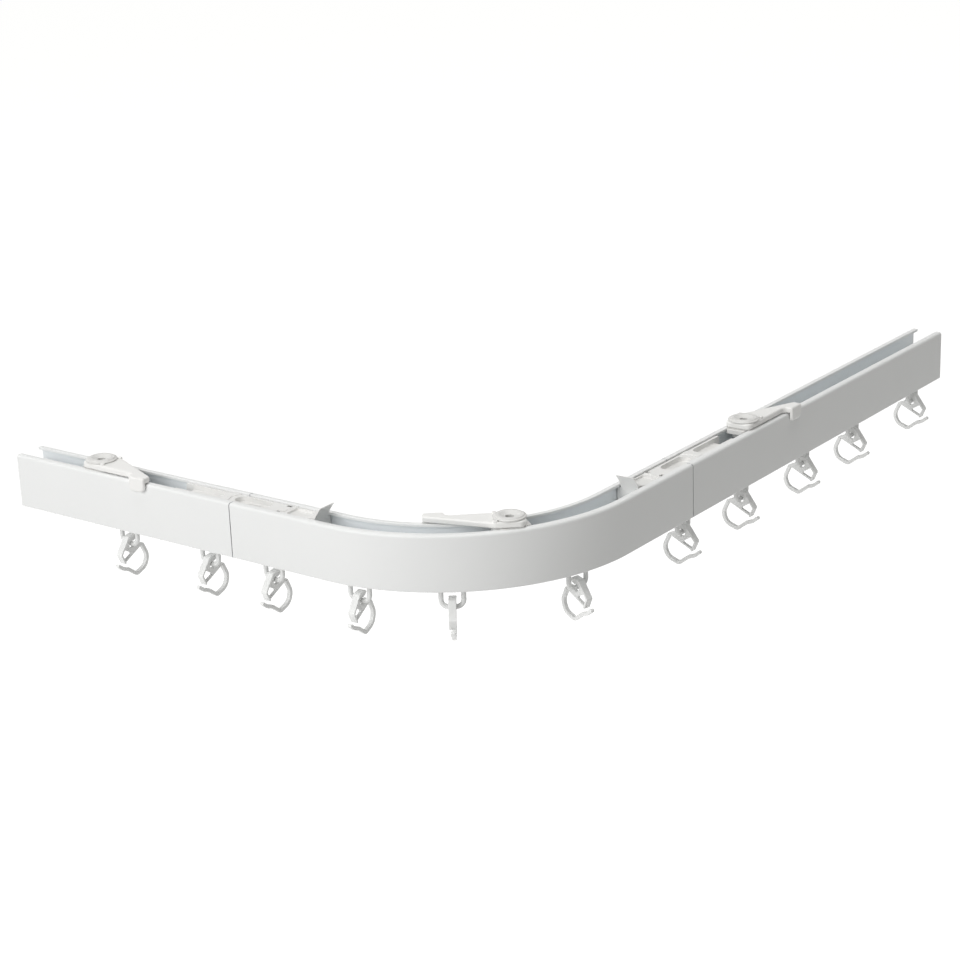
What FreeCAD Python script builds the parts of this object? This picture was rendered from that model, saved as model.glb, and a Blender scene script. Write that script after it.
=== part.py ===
# Corner curtain track: two straight lengths and a bent one, clipped to ceiling fittings,
# with gliders that run in the lower channel and a hook hung from each glider's ring.
# Millimetres, +Z up. The origin is on the corner fitting's screw axis, where the screw hole opens
# into the countersink in its head. Until they are written out, pieces lie in a working frame
# with the centre of the bend at x = y = 0 and the top of the track at z = 0.
import FreeCAD, Part
import math
import os
from FreeCAD import Placement, Rotation, Vector

# Track section
track_width = 19.0
track_height = 28.0
wall = 1.3
top_lip_width = 3.8
top_lip_thickness = 1.5
top_channel_depth = 9.0
web_thickness = 1.2
glider_channel_height = 7.6
bottom_lip_thickness = 1.3
glider_slot_width = 4.6
top_edge_radius = 1.4
bottom_edge_bevel = 0.6

# Run of the track, measured along its centre line
bend_radius = 92.1
corner_leg_length = 59.5
left_track_length = 147.3
right_track_length = 279.4
joint_gap = 0.2

# Connectors: bars in the upper channel across the two joints
connector_length = 94.5
connector_side_play = 0.3
connector_lip_play = 0.2
connector_flange_thickness = 2.2
connector_top_drop = 0.7
connector_wall = 1.8
left_fin_bend_gap = 5.3
right_fin_bend_gap = 12.3
fin_height = 5.8
fin_thickness = 0.9
fin_lean = 5.2
fin_foot = 6.5
fin_root_depth = 2.5

# Features along a connector's top, from the tip of its fin
front_recess_start = 11.5
front_recess_length = 11.1
front_recess_depth = 1.2
front_recess_margin = 1.0
slanted_rib_start = 22.8
slanted_rib_width = 1.8
slanted_rib_slant = 2.4
notch_start = 25.7
notch_length = 3.0
notch_width = 2.1
notch_depth = 3.0
first_pocket_start = 35.7
first_pocket_length = 22.0
waisted_rib_start = 59.0
waisted_rib_length = 6.0
waisted_rib_waist = 2.0
second_pocket_start = 66.4
pocket_width = 6.4
pocket_depth = 2.0
pocket_slot_length = 10.0
pocket_slot_width = 2.2
fork_depth = 5.0
connector_rib_height = 0.6
connector_rib_inset = 0.1

# Ceiling fittings
screw_hole_radius = 2.1
screw_recess_radius = 4.4
screw_recess_depth = 1.2
head_radius = 8.0
head_thickness = 1.5
boss_radius = 5.5
seat_plate_length = 14.0
seat_plate_width = 18.6
seat_plate_thickness = 1.3
fitting_corner_radius = 3.6
foot_corner_radius = 4.0
foot_length = 18.0
foot_side_play = 0.5
foot_depth = 6.0
lug_length = 9.0
lug_thickness = 2.2
lug_play = 0.15
lug_side_play = 0.5

# Locking levers
lever_thickness = 2.1
lever_play = 0.1
lever_bore_play = 0.06
lever_clip_start = 30.3
lever_clip_length = 9.9
lever_clip_thickness = 2.1
lever_clip_drop = 4.0
lever_clip_gap = 0.35
lever_clip_corner = 1.4
lever_neck_width = 5.2
lever_back_length = 7.4
lever_back_radius = 7.0
lever_shoulder_start = 6.0
lever_shoulder_radius = 5.0
lever_stop_length = 3.2
lever_stop_width = 2.4
lever_stop_height = 0.9
lever_stop_offset = 5.0

# Gliders
runner_length = 14.0
runner_width = 14.4
runner_thickness = 2.3
runner_crop = 2.6
runner_play = 0.1
crown_length = 9.0
crown_width = 6.4
crown_height = 2.8
crown_bevel = 0.8
neck_width = 3.4
ring_width = 12.8
ring_wire_radius = 1.1
ring_drop = 11.7
ring_corner_radius = 3.6
ring_sides = 8

# Hooks, drawn about the wire that they hang from: first outwards from the wire, then up
hook_eye_play = 0.3
eye_sides = 12
yoke_thickness = 3.4
strap_thickness = 2.2
strap_width = 1.9
strap_tip_round = 0.9
eye_mouth_width = 1.8
eye_mouth_rise = 12.0
eye_mouth_reach = 9.0
strap_line = [
    (-6.9, -3.6, 0.0),
    (-9.3, -11.2, 6.0),
    (-6.2, -15.9, 5.5),
    (0.4, -17.3, 1.2),
    (5.4, -12.2, 2.5),
    (8.6, -10.5, 2.5),
    (11.7, -7.2, 0.0),
]
yoke_outline = [
    (-8.1, -3.3, 0.0),
    (-4.2, -0.5, 0.0),
    (-3.7, 2.8, 0.0),
    (-2.4, 4.7, 0.0),
    (2.2, 4.6, 1.2),
    (9.2, -2.6, 0.6),
    (7.5, -8.4, 0.8),
    (-5.6, -4.1, 0.0),
]
yoke_window = [
    (5.9, -1.8, 0.0),
    (7.6, -3.4, 0.0),
    (6.4, -6.7, 0.0),
    (2.7, -5.4, 0.0),
    (2.7, -4.5, 0.0),
]

# Where the fittings and gliders stand, as shares of the piece of track that each one is on. The
# right fitting's foot stands behind the right connector's forked end.
right_fitting_gap = 9.6
left_fitting_share = 0.644
bend_fitting_share = 0.586
left_glider_shares = [0.540, 0.163]
left_leg_glider_shares = [0.704]
bend_glider_shares = [0.076, 0.391, 0.828]
right_glider_shares = [0.0186, 0.227, 0.463, 0.670, 0.938]

# Chords that draw each rounded corner
round_chord_count = 3
strap_chord_count = 2
track_edge_chord_count = 2

# Depth that raised parts are sunk into what carries them
sunk = 0.5
# Height that clears everything above a cut
above_all = 1.0

# Worked out from the sizes above
half_width = track_width / 2
inner_half_width = half_width - wall
top_slot_width = track_width - 2 * top_lip_width
lip_underside = -top_lip_thickness
upper_floor = lip_underside - top_channel_depth
lower_floor = -track_height + bottom_lip_thickness
lower_roof = lower_floor + glider_channel_height
chamber_top = upper_floor - web_thickness
chamber_floor = lower_roof + web_thickness
bend_length = bend_radius * math.pi / 2
left_joint = -corner_leg_length
right_joint = bend_length + corner_leg_length
left_fin_reach = corner_leg_length - left_fin_bend_gap
right_fin_reach = corner_leg_length - right_fin_bend_gap
lever_underside = seat_plate_thickness + lever_play
lever_top = lever_underside + lever_thickness
head_underside = lever_top + lever_play
head_top = head_underside + head_thickness
screw_seat = head_top - screw_recess_depth
foot_width = top_slot_width - 2 * foot_side_play
wire_height = -track_height - ring_drop + ring_wire_radius
eye_radius = ring_wire_radius + hook_eye_play


def placement_at(distance, turn=0.0):
    """Frame of the track at a distance along its centre line past the start of the bend.

    Its x runs along the track, its y points into the bend and its z is up."""
    heading = min(max(distance, 0.0), bend_length) / bend_radius
    along = distance - heading * bend_radius
    x = bend_radius * math.sin(heading) + along * math.cos(heading)
    y = -bend_radius * math.cos(heading) + along * math.sin(heading)
    return Placement(Vector(x, y, 0), Rotation(Vector(0, 0, 1), math.degrees(heading) + turn))


def placed(shape, distance, turn=0.0):
    """Copy of a shape, moved from the local frame to its place on the track."""
    moved = shape.copy()
    moved.Placement = placement_at(distance, turn) * moved.Placement
    return moved


def one_solid(shape):
    """The single solid that a union or a cut leaves, with its split faces joined."""
    return shape.removeSplitter().Solids[0]


def rounded_points(corners, chords):
    """Points round a closed outline of (point, radius) corners. Each radius is a tangent arc, drawn
    as a few chords so that the pieces stay light."""
    points = []
    for index, (point, radius) in enumerate(corners):
        if radius == 0:
            points.append(point)
            continue
        to_before = (corners[index - 1][0] - point).normalize()
        to_after = (corners[(index + 1) % len(corners)][0] - point).normalize()
        half_angle = to_before.getAngle(to_after) / 2
        setback = radius / math.tan(half_angle)
        centre = point + (to_before + to_after).normalize() * (radius / math.sin(half_angle))
        first = point + to_before * setback - centre
        last = point + to_after * setback - centre
        turn = math.pi - 2 * half_angle
        for step in range(chords + 1):
            share = step / chords
            spoke = first * math.sin((1 - share) * turn) + last * math.sin(share * turn)
            points.append(centre + spoke * (1 / math.sin(turn)))
    return points


def rounded_face(corners, chords=round_chord_count):
    """Flat face inside (point, radius) corners."""
    points = rounded_points(corners, chords)
    return Part.Face(Part.makePolygon(points + points[:1]))


def upright_cylinder(radius, bottom, top):
    """Cylinder about the local z axis."""
    return Part.makeCylinder(radius, top - bottom, Vector(0, 0, bottom))


def plan_block(corners, bottom, top):
    """Upright block over (x, y, radius) corners."""
    face = rounded_face([(Vector(x, y, bottom), radius) for x, y, radius in corners])
    return face.extrude(Vector(0, 0, top - bottom))


def centred_plan(length, width, radius, start=None):
    """Corners of a rectangle centred on the x axis, starting at a given x or centred there too."""
    low = -length / 2 if start is None else start
    high = low + length
    half = width / 2
    return [(low, -half, radius), (high, -half, radius), (high, half, radius), (low, half, radius)]


def cropped_plan(length, width, crop):
    """Corners of a centred rectangle whose own corners are cut off at 45 degrees."""
    x = length / 2
    y = width / 2
    quarter = [(x, y - crop, 0), (x - crop, y, 0)]
    half = quarter + [(-x + crop, y, 0), (-x, y - crop, 0)]
    return half + [(-px, -py, radius) for px, py, radius in half]


def track_section():
    """Cross-section of the track in its local y-z plane: an open upper channel, a closed
    chamber and an open lower channel, one above the other."""
    top_gap = top_slot_width / 2
    bottom_gap = glider_slot_width / 2
    half_outline = [
        (inner_half_width, lower_roof, 0),
        (inner_half_width, lower_floor, 0),
        (bottom_gap, lower_floor, 0),
        (bottom_gap, -track_height, 0),
        (half_width - bottom_edge_bevel, -track_height, 0),
        (half_width, bottom_edge_bevel - track_height, 0),
        (half_width, 0.0, top_edge_radius),
        (top_gap, 0.0, 0),
        (top_gap, lip_underside, 0),
        (inner_half_width, lip_underside, 0),
        (inner_half_width, upper_floor, 0),
    ]
    right = [(Vector(0, y, z), radius) for y, z, radius in half_outline]
    left = [(Vector(0, -y, z), radius) for y, z, radius in reversed(half_outline)]
    chamber = []
    for side, level in ((1, chamber_top), (1, chamber_floor), (-1, chamber_floor), (-1, chamber_top)):
        chamber.append((Vector(0, side * inner_half_width, level), 0))
    return rounded_face(right + left, track_edge_chord_count).cut(rounded_face(chamber)).Faces[0]


def straight_track(start, length):
    """Straight length of track from a place on the run."""
    return placed(track_section().extrude(Vector(length, 0, 0)), start)


def corner_track():
    """Bent length of track with a straight leg at each end."""
    bend_start = placed(track_section(), 0)
    bend = bend_start.revolve(Vector(0, 0, 0), Vector(0, 0, 1), 90)
    left_leg = straight_track(left_joint, corner_leg_length)
    right_leg = straight_track(bend_length, corner_leg_length)
    return one_solid(left_leg.fuse([bend, right_leg]))


def connector():
    """Moulded bar across a joint, from x = 0 at the tip of its fin to the forked end.

    It hangs on the undersides of the lips, fills the slot between them and stands on the floor
    of the upper channel with two long walls."""
    flange_top = lip_underside - connector_lip_play
    body_top = -connector_top_drop
    floor = upper_floor + connector_lip_play
    body_start = fin_lean
    body_length = connector_length - body_start
    hollow_start = body_start + fin_foot
    hollow_length = body_length - 2 * fin_foot
    flange_width = 2 * (inner_half_width - connector_side_play)
    hollow_width = flange_width - 2 * connector_wall
    rib_width = top_slot_width - 2 * connector_side_play
    flange = plan_block(centred_plan(body_length, flange_width, 0, body_start), floor, flange_top)
    rib = plan_block(centred_plan(body_length, rib_width, 0, body_start), flange_top - sunk, body_top)
    hollow_plan = centred_plan(hollow_length, hollow_width, 0, hollow_start)
    hollow = plan_block(hollow_plan, floor - above_all, flange_top - connector_flange_thickness)
    cuts = [hollow] + connector_pockets(rib_width, body_top)
    raised = [connector_fin(rib_width, body_top)] + connector_ribs(rib_width, body_top)
    return one_solid(flange.fuse(rib).cut(cuts).fuse(raised))


def connector_pockets(rib_width, body_top):
    """Recesses in the connector's top, the slot in the first oval and the fork that the second
    one runs out into."""
    oval_end = pocket_width * 0.48
    fork_start = connector_length - fork_depth
    second_pocket_length = fork_start + oval_end - second_pocket_start
    front_plan = centred_plan(
        front_recess_length, rib_width - 2 * front_recess_margin, 0, front_recess_start)
    pockets = [plan_block(front_plan, body_top - front_recess_depth, above_all)]
    for start, length in ((first_pocket_start, first_pocket_length),
                          (second_pocket_start, second_pocket_length)):
        oval = centred_plan(length, pocket_width, oval_end, start)
        pockets.append(plan_block(oval, body_top - pocket_depth, above_all))
    slot_start = first_pocket_start + (first_pocket_length - pocket_slot_length) / 2
    slot_plan = centred_plan(pocket_slot_length, pocket_slot_width, 0, slot_start)
    fork_plan = centred_plan(2 * fork_depth, pocket_width, 0, fork_start)
    notch_plan = centred_plan(notch_length, 2 * notch_width, 0, notch_start)
    pockets.append(plan_block(slot_plan, upper_floor, above_all))
    pockets.append(plan_block(fork_plan, upper_floor, above_all))
    for side in (-1, 1):
        notch = plan_block(notch_plan, body_top - notch_depth, above_all)
        notch.translate(Vector(0, side * rib_width / 2, 0))
        pockets.append(notch)
    return pockets


def connector_ribs(rib_width, body_top):
    """Slanted rib behind the front recess, and the waisted rib between the two ovals."""
    half = rib_width / 2 - connector_rib_inset
    near = slanted_rib_start
    far = near + slanted_rib_width
    slant = slanted_rib_slant
    slanted = [(near, -half, 0), (far, -half, 0), (far + slant, half, 0), (near + slant, half, 0)]
    start = waisted_rib_start
    end = start + waisted_rib_length
    waist = waisted_rib_waist
    waisted = [(start, -half, 0), (end, -half, 0), (end - waist, 0, 0),
               (end, half, 0), (start, half, 0), (start + waist, 0, 0)]
    bottom = body_top - sunk
    top = body_top + connector_rib_height
    return [plan_block(slanted, bottom, top), plan_block(waisted, bottom, top)]


def connector_fin(rib_width, body_top):
    """Springy fin that stands out of the slot: its face towards the bend is hollow, and it leans
    that way."""
    foot_level = body_top - fin_root_depth
    tip = Vector(0, 0, fin_height)
    tip_back = Vector(fin_thickness, 0, fin_height)
    foot_front = Vector(fin_lean, 0, foot_level)
    foot_back = Vector(fin_lean + fin_foot, 0, foot_level)
    crease = Vector(fin_lean + fin_foot, 0, body_top)
    front_middle = Vector(fin_lean * 0.62, 0, (fin_height + foot_level) * 0.5)
    back_middle = Vector(fin_lean * 0.71 + fin_thickness, 0, fin_height * 0.22)
    edges = [
        Part.Arc(foot_front, front_middle, tip).toShape(),
        Part.makeLine(tip, tip_back),
        Part.Arc(tip_back, back_middle, crease).toShape(),
        Part.makeLine(crease, foot_back),
        Part.makeLine(foot_back, foot_front),
    ]
    fin = Part.Face(Part.Wire(edges)).extrude(Vector(0, rib_width, 0))
    fin.translate(Vector(0, -rib_width / 2, 0))
    return fin


def ceiling_fitting():
    """Screw plate: a foot with lugs under the lips, a seat on top of them, a boss that the lever
    turns on and a round head against the ceiling, with the screw hole through them all."""
    foot = plan_block(centred_plan(foot_length, foot_width, foot_corner_radius), -foot_depth, 0.0)
    lug_top = lip_underside - lug_play
    lug_width = 2 * (inner_half_width - lug_side_play)
    lugs = plan_block(centred_plan(lug_length, lug_width, 0), lug_top - lug_thickness, lug_top)
    seat_plan = centred_plan(seat_plate_length, seat_plate_width, fitting_corner_radius)
    seat = plan_block(seat_plan, 0.0, seat_plate_thickness)
    boss = upright_cylinder(boss_radius, seat_plate_thickness, head_underside)
    head = upright_cylinder(head_radius, head_underside, head_top)
    hole = upright_cylinder(screw_hole_radius, -foot_depth, head_top)
    hole_mouth = Vector(0, 0, screw_seat)
    recess = Part.makeCone(screw_hole_radius, screw_recess_radius, screw_recess_depth, hole_mouth)
    return one_solid(seat.fuse([foot, lugs, boss, head]).cut([hole, recess]))


def locking_lever():
    """Lever round the fitting's boss: it reaches along the track, and the clip at its tip, on the
    outer side of the bend, drops over the track's wall."""
    edge = seat_plate_width / 2
    clip_face = half_width + lever_clip_gap
    clip_back = clip_face + lever_clip_thickness
    tip = lever_clip_start + lever_clip_length
    plan = [
        (-lever_back_length, edge, lever_back_radius),
        (-lever_back_length, -edge, lever_back_radius),
        (lever_clip_start - lever_clip_corner, -edge, 0),
        (lever_clip_start, -clip_back, lever_clip_corner),
        (tip, -clip_back, lever_clip_corner),
        (tip, lever_neck_width - clip_back, lever_clip_corner),
        (lever_shoulder_start, edge, lever_shoulder_radius),
    ]
    plate = plan_block(plan, lever_underside, lever_top)
    clip_plan = [
        (lever_clip_start, -clip_face, 0),
        (lever_clip_start, -clip_back, lever_clip_corner),
        (tip, -clip_back, lever_clip_corner),
        (tip, -clip_face, 0),
    ]
    clip = plan_block(clip_plan, -lever_clip_drop, lever_top - sunk)
    stop_plan = centred_plan(lever_stop_length, lever_stop_width, 0, head_radius - sunk)
    raised = [clip]
    for side in (-1, 1):
        stop = plan_block(stop_plan, lever_top - sunk, lever_top + lever_stop_height)
        stop.translate(Vector(0, side * lever_stop_offset, 0))
        raised.append(stop)
    bore = upright_cylinder(boss_radius + lever_bore_play, 0, head_top)
    return one_solid(plate.fuse(raised).cut(bore))


def corner_lever_swing():
    """Turn that brings the clip's two ends clear of the curved inner wall, in degrees."""
    wall_radius = bend_radius - half_width - lever_clip_gap
    clip_face = half_width + lever_clip_gap
    turns = []
    for reach in (lever_clip_start, lever_clip_start + lever_clip_length):
        span = math.hypot(reach, clip_face)
        rise = (span ** 2 + bend_radius ** 2 - wall_radius ** 2) / (2 * bend_radius * span)
        turns.append(math.asin(rise) - math.atan2(clip_face, reach))
    return math.degrees(max(turns))


def glider():
    """Runner that rides on the two bottom lips, with a ring of round wire below the slot."""
    runner_floor = lower_floor + runner_play
    runner_top = runner_floor + runner_thickness
    crown_top = runner_top + crown_height
    runner_plan = cropped_plan(runner_length, runner_width, runner_crop)
    runner = plan_block(runner_plan, runner_floor, runner_top)
    crown = plan_block(centred_plan(crown_length, crown_width, 0), runner_top - sunk, crown_top)
    crown_rim = [edge for edge in crown.Edges if edge.BoundBox.ZMin > crown_top - crown_bevel]
    crown = crown.makeChamfer(crown_bevel, crown_rim)
    neck_plan = centred_plan(ring_width, neck_width, 0)
    neck = plan_block(neck_plan, runner_play - track_height, runner_floor + sunk)
    ring = glider_ring(runner_floor + runner_thickness / 2)
    return one_solid(runner.fuse([crown, neck, ring]))


def glider_ring(leg_top):
    """Ring below the runner: two legs, two bends and a straight bottom, of a many-sided wire."""
    leg = ring_width / 2 - ring_wire_radius
    hung = [(Vector(-leg, 0, leg_top), 0), (Vector(-leg, 0, wire_height), ring_corner_radius),
            (Vector(leg, 0, wire_height), ring_corner_radius), (Vector(leg, 0, leg_top), 0)]
    path = Part.makePolygon(rounded_points(hung, round_chord_count))
    wire_end = []
    for side in range(ring_sides + 1):
        angle = 2 * math.pi * (side + 0.5) / ring_sides
        spoke = Vector(ring_wire_radius * math.cos(angle), ring_wire_radius * math.sin(angle), 0)
        wire_end.append(hung[0][0] + spoke)
    return path.makePipeShell([Part.makePolygon(wire_end)], True, False, 1)


def hook_point(outwards, up):
    """Point of the hook's outline, given from the wire that it hangs on."""
    return Vector(0, -outwards, wire_height + up)


def strap_face():
    """Outline of the thin strap: the loop and the springy tongue that closes it."""
    points = [hook_point(outwards, up) for outwards, up, radius in strap_line]
    radii = [radius for outwards, up, radius in strap_line]
    half = strap_width / 2
    normals = []
    for start, end in zip(points, points[1:]):
        direction = (end - start).normalize()
        normals.append(Vector(0, -direction.z, direction.y))
    sides = {1: [], -1: []}
    for index, point in enumerate(points):
        before = normals[max(index - 1, 0)]
        after = normals[min(index, len(normals) - 1)]
        shift = (before + after) * (half / (1 + before.dot(after)))
        turn = before.cross(after).x
        for side in sides:
            radius = radii[index]
            if radius > 0:
                radius = radius - side * half if turn > 0 else radius + side * half
            sides[side].append((point + shift * side, radius))
    for side in sides:
        sides[side][-1] = (sides[side][-1][0], half * strap_tip_round)
    return rounded_face(sides[1] + sides[-1][::-1], strap_chord_count)


def centred_slab(face, thickness):
    """Slab of a face that stands across the track, with half of it on each side."""
    slab = face.extrude(Vector(thickness, 0, 0))
    slab.translate(Vector(-thickness / 2, 0, 0))
    return slab


def hook_eye():
    """Opening of the yoke: a many-sided eye round the ring's wire, and its mouth towards the room."""
    centre = hook_point(0, 0)
    corners = []
    for side in range(eye_sides + 1):
        angle = 2 * math.pi * side / eye_sides
        spoke = Vector(0, math.cos(angle), math.sin(angle))
        corners.append(centre + spoke * (eye_radius / math.cos(math.pi / eye_sides)))
    eye = Part.Face(Part.makePolygon(corners))
    rise = math.radians(eye_mouth_rise)
    inwards = Vector(0, math.cos(rise), math.sin(rise))
    across = Vector(0, -inwards.z, inwards.y) * (eye_mouth_width / 2)
    far = centre + inwards * eye_mouth_reach
    mouth_corners = [centre - across, far - across, far + across, centre + across, centre - across]
    return [eye, Part.Face(Part.makePolygon(mouth_corners))]


def hook():
    """Curtain hook: a stiff yoke with an open eye round the ring's wire, and a strap loop below.

    It is turned about the wire until its weight hangs straight below it."""
    yoke = rounded_face([(hook_point(u, v), radius) for u, v, radius in yoke_outline])
    window = rounded_face([(hook_point(u, v), radius) for u, v, radius in yoke_window])
    open_yoke = yoke.cut([window] + hook_eye()).Faces[0]
    yoke_slab = centred_slab(open_yoke, yoke_thickness)
    body = one_solid(yoke_slab.fuse(centred_slab(strap_face(), strap_thickness)))
    centre = hook_point(0, 0)
    offset = body.CenterOfMass - centre
    hang = math.degrees(math.atan2(offset.y, -offset.z))
    body.rotate(centre, Vector(1, 0, 0), -hang)
    return body


def glider_places():
    """Distances of the gliders along the run, from the left end to the right."""
    places = [left_joint - share * left_track_length for share in left_glider_shares]
    places += [-share * corner_leg_length for share in left_leg_glider_shares]
    places += [share * bend_length for share in bend_glider_shares]
    places += [right_joint + share * right_track_length for share in right_glider_shares]
    return places


def build():
    """All the pieces by name, in the working frame."""
    left_end = left_joint - joint_gap - left_track_length
    left_fitting = left_joint - left_fitting_share * left_track_length
    bend_fitting = bend_fitting_share * bend_length
    right_connector = right_joint - right_fin_reach
    right_fitting = right_connector + connector_length + right_fitting_gap + foot_length / 2
    pieces = {
        "left_track": straight_track(left_end, left_track_length),
        "corner_track": corner_track(),
        "right_track": straight_track(right_joint + joint_gap, right_track_length),
        "left_connector": placed(connector(), left_joint + left_fin_reach, 180),
        "right_connector": placed(connector(), right_connector),
    }
    fittings = [("left", left_fitting, 0.0), ("corner", bend_fitting, 180 - corner_lever_swing()),
                ("right", right_fitting, 0.0)]
    for name, place, lever_turn in fittings:
        pieces[name + "_ceiling_fitting"] = placed(ceiling_fitting(), place)
        pieces[name + "_locking_lever"] = placed(locking_lever(), place, lever_turn)
    for number, place in enumerate(glider_places(), 1):
        pieces["glider_%02d" % number] = placed(glider(), place)
        pieces["curtain_hook_%02d" % number] = placed(hook(), place)
    return pieces, placement_at(bend_fitting).Base + Vector(0, 0, screw_seat)


os.makedirs("parts", exist_ok=True)
all_pieces, origin = build()
for piece_name, piece in all_pieces.items():
    piece.translate(-origin)
    piece.exportStep("parts/%s.step" % piece_name)
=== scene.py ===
# Corner curtain track under a ceiling: coated aluminium tracks, plastic connectors, ceiling
# fittings with locking levers, gliders and curtain hooks. Metres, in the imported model's frame.
import math

import bmesh
import bpy
from mathutils import Matrix, Vector


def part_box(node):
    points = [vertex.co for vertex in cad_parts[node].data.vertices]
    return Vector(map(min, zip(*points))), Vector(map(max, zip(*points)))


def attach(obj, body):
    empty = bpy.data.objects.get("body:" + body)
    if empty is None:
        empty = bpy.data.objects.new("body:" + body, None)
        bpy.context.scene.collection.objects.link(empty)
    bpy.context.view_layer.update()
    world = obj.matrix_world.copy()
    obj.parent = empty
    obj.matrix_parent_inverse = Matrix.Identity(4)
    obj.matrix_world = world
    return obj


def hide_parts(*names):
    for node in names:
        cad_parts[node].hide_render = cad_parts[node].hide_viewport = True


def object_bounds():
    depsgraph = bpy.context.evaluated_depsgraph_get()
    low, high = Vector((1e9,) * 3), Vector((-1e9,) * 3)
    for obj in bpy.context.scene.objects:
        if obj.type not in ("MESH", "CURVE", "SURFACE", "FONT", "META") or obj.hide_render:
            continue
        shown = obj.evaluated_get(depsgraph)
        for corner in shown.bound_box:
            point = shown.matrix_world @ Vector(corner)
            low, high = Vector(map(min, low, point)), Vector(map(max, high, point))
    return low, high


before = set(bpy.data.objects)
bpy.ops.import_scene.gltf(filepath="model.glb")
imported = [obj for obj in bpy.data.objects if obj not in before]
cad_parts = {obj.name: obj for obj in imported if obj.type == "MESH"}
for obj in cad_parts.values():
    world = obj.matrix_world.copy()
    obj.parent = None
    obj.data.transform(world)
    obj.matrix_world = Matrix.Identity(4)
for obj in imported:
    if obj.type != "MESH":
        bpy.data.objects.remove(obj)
cad_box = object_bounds()

# Camera: on the room's side of the corner, looking down on the tops of the tracks, as the
# photograph does. Its place and angles were worked out from the straight edges of both arms.
photo_width = 960
focal_length_pixels = 2254.0
camera_place = Vector((0.5769, -0.7863, 0.3522))
camera_yaw = math.radians(-37.03)
camera_pitch = math.radians(18.92)
camera_roll = math.radians(-2.22)


def linked(name, data):
    """Object of this scene that shows a mesh or a curve, or is a lamp or the camera."""
    made = bpy.data.objects.new(name, data)
    bpy.context.scene.collection.objects.link(made)
    return made


ahead = Vector((
    math.sin(camera_yaw) * math.cos(camera_pitch),
    math.cos(camera_yaw) * math.cos(camera_pitch),
    -math.sin(camera_pitch)))
level = Vector((math.cos(camera_yaw), -math.sin(camera_yaw), 0))
above = level.cross(ahead)
camera_right = level * math.cos(camera_roll) + above * math.sin(camera_roll)
camera_up = above * math.cos(camera_roll) - level * math.sin(camera_roll)
camera_data = bpy.data.cameras.new("photo_camera")
camera_data.sensor_fit = "HORIZONTAL"
camera_data.lens = camera_data.sensor_width * focal_length_pixels / photo_width
camera = linked("photo_camera", camera_data)
camera_axes = Matrix((camera_right, camera_up, -ahead)).transposed().to_4x4()
camera.matrix_world = Matrix.Translation(camera_place) @ camera_axes
bpy.context.scene.camera = camera
bpy.context.scene.view_settings.view_transform = "Standard"


# Node trees: the pieces' materials and the trees that bend and place them are written as sums.
# Signal is an output socket that Python's operators work on; Graph makes every other node.
class Signal:
    """An output of a node. Arithmetic on it adds Math nodes to its tree."""

    def __init__(self, graph, socket):
        self.graph = graph
        self.socket = socket

    def math(self, operation, *others):
        values = {index: value for index, value in enumerate((self,) + others)}
        return self.graph.node("ShaderNodeMath", {"operation": operation}, values)

    def __add__(self, other):
        return self.math("ADD", other)

    __radd__ = __add__

    def __sub__(self, other):
        return self.math("SUBTRACT", other)

    def __rsub__(self, other):
        return self.graph.node("ShaderNodeMath", {"operation": "SUBTRACT"}, {0: other, 1: self})

    def __mul__(self, other):
        return self.math("MULTIPLY", other)

    __rmul__ = __mul__

    def __truediv__(self, other):
        return self.math("DIVIDE", other)


class Graph:
    """A node tree that nodes are added to."""

    def __init__(self, tree):
        self.tree = tree

    def node(self, kind, settings=None, sockets=None, output=0):
        made = self.tree.nodes.new(kind)
        for name, value in (settings or {}).items():
            setattr(made, name, value)
        for name, value in (sockets or {}).items():
            if isinstance(value, Signal):
                self.tree.links.new(value.socket, made.inputs[name])
            else:
                made.inputs[name].default_value = value
        return Signal(self, made.outputs[output])

    def outputs(self, kind, sockets):
        made = self.node(kind, None, sockets).socket.node
        return [Signal(self, socket) for socket in made.outputs]

    def connect(self, signal, node, name):
        self.tree.links.new(signal.socket, node.inputs[name])

    def result(self, signal):
        leaving = self.tree.nodes.new("NodeGroupOutput")
        self.tree.links.new(signal.socket, leaving.inputs[0])


# Tracks: three lengths of one extruded aluminium profile, coated white and butted end to end. An
# open channel above takes fittings and connectors, the one below takes the gliders, and a closed
# chamber lies between them. The middle length is bent round a former.
bend_radius = 0.0921
top_lip_width = 0.0038
top_lip_thickness = 0.0015
wall = 0.0013
top_channel_depth = 0.0090
web_thickness = 0.0012
glider_channel_height = 0.0076
bottom_lip_thickness = 0.0013
glider_slot_width = 0.0046
top_edge_radius = 0.0014
bottom_edge_radius = 0.0006
fine_radius = 0.0003
bend_stations = 72
profile_crease = math.radians(35)

left_low, left_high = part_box("left_track")
right_low, right_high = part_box("right_track")
corner_low, corner_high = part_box("corner_track")
track_top = left_high[2]
track_height = left_high[2] - left_low[2]
half_width = (left_high[1] - left_low[1]) / 2
left_line = (left_low[1] + left_high[1]) / 2
right_line = (right_low[0] + right_high[0]) / 2
bend_centre = Vector((right_line - bend_radius, left_line + bend_radius, track_top))
bend_length = bend_radius * math.pi / 2


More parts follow.
